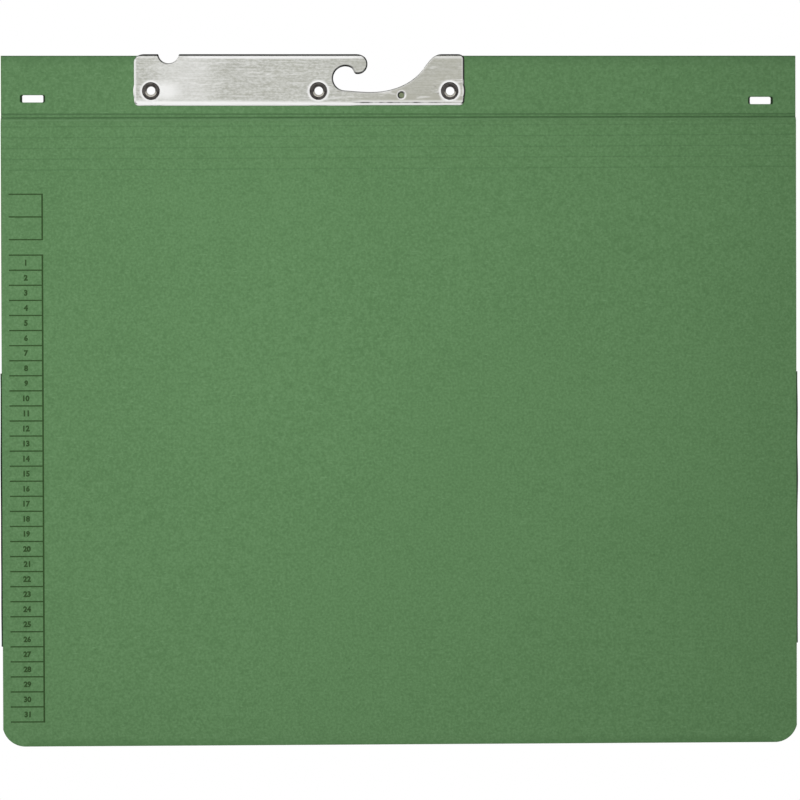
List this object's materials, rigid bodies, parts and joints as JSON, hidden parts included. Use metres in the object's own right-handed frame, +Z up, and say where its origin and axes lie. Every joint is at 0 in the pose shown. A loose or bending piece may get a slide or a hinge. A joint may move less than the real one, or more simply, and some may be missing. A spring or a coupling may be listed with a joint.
{
  "type": "hanging file folder",
  "caption": "Green board folder for A4 paper with a metal hanger rail whose round hook seat hangs on a bar; covers swing on creases over a paper fastener and pocket.",
  "frame": {"origin": "axis of the hanging bar in the hook's round seat, midway through the folder's thickness", "axes": "+X to the right as seen from the front, +Y from the front cover to the back cover, +Z up"},
  "size_m": [0.3204, 0.0036, 0.2766],
  "materials": {
    "board": "uncoated green manila board",
    "grey_board": "uncoated grey board",
    "rail": "mill-finished sheet with rolling grain",
    "rivet": "zinc-plated steel",
    "fastener_steel": "zinc-plated steel strip",
    "cloth": "dark green bookbinding cloth"
  },
  "bodies": {
    "hanger": {"folded_strip": "board", "hanger_rail": "rail", "rivet_left": "rivet", "rivet_middle": "rivet", "rivet_right": "rivet"},
    "front": {"front_cover": "board"},
    "back": {"back_cover": "board", "pocket_panel": "board", "gusset_left": "cloth", "gusset_right": "cloth", "fastener_carrier": "grey_board", "fastener_tongues": "fastener_steel", "fastener_bar": "fastener_steel"}
  },
  "joints": [
    {"name": "front_cover_swing", "type": "hinge", "parent": "hanger", "child": "front", "pos_m": [0, -0.00055, -0.0155], "axis": [-1, 0, 0], "range_deg": [0, 150]},
    {"name": "back_cover_swing", "type": "hinge", "parent": "hanger", "child": "back", "pos_m": [0, 0.00055, -0.0155], "axis": [1, 0, 0], "range_deg": [0, 150]}
  ]
}
